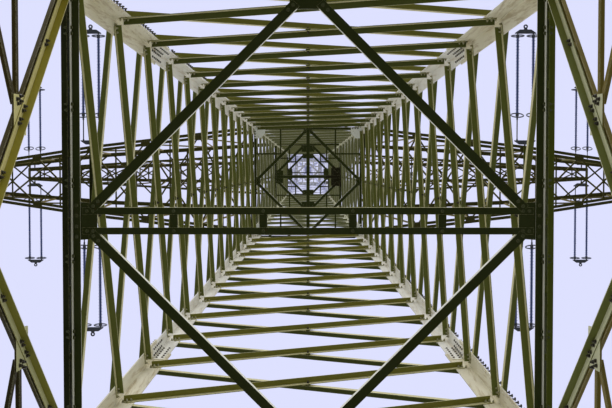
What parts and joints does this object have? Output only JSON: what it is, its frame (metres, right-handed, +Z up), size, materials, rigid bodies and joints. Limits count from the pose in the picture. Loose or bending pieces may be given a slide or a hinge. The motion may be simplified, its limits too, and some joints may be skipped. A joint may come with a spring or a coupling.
{
  "type": "lattice transmission pylon, scale model 1:2",
  "caption": "Tapered square lattice tower of painted steel angles with a lower and an upper pair of cross-arms, tension insulator sets and a peak, as a half-size model.",
  "frame": {"origin": "on the tower's axis, in the plane of the undersides of its four base plates", "axes": "Z up, X along the cross-arms, Y along the line, -Y the front"},
  "size_m": [11.374, 4.424, 29.35],
  "materials": {
    "leg_paint": "weathered pale cream-grey paint on galvanised steel",
    "bracing_paint": "weathered olive paint, matt",
    "frame_paint": "weathered dark olive paint, matt",
    "arm_paint": "weathered dark olive paint, matt",
    "insulator_glaze": "glossy blue-grey"
  },
  "bodies": {
    "root": {"leg_lower_front_right": "leg_paint", "leg_lower_back_right": "leg_paint", "leg_lower_back_left": "leg_paint", "leg_lower_front_left": "leg_paint", "leg_middle_front_right": "leg_paint", "leg_middle_back_right": "leg_paint", "leg_middle_back_left": "leg_paint", "leg_middle_front_left": "leg_paint", "leg_upper_front_right": "bracing_paint", "leg_upper_back_right": "bracing_paint", "leg_upper_back_left": "bracing_paint", "leg_upper_front_left": "bracing_paint", "base_bracing_front": "bracing_paint", "base_bracing_right": "bracing_paint", "base_bracing_back": "bracing_paint", "base_bracing_left": "bracing_paint", "body_bracing_front": "bracing_paint", "body_bracing_right": "bracing_paint", "body_bracing_back": "bracing_paint", "body_bracing_left": "bracing_paint", "neck_bracing_front": "bracing_paint", "neck_bracing_right": "bracing_paint", "neck_bracing_back": "bracing_paint", "neck_bracing_left": "bracing_paint", "peak": "bracing_paint", "waist_frame": "frame_paint", "waist_plan_bracing": "frame_paint", "plan_frames_low_arm": "frame_paint", "plan_frames_up_arm": "frame_paint", "low_arm_bottom_right": "arm_paint", "low_arm_sides_right": "arm_paint", "low_arm_top_right": "arm_paint", "low_arm_bottom_left": "arm_paint", "low_arm_sides_left": "arm_paint", "low_arm_top_left": "arm_paint", "up_arm_bottom_right": "arm_paint", "up_arm_sides_right": "arm_paint", "up_arm_top_right": "arm_paint", "up_arm_bottom_left": "arm_paint", "up_arm_sides_left": "arm_paint", "up_arm_top_left": "arm_paint", "insulators_low_inner_right": "insulator_glaze", "insulators_low_outer_right": "insulator_glaze", "insulators_up_right": "insulator_glaze", "insulators_low_inner_left": "insulator_glaze", "insulators_low_outer_left": "insulator_glaze", "insulators_up_left": "insulator_glaze"}
  },
  "joints": []
}
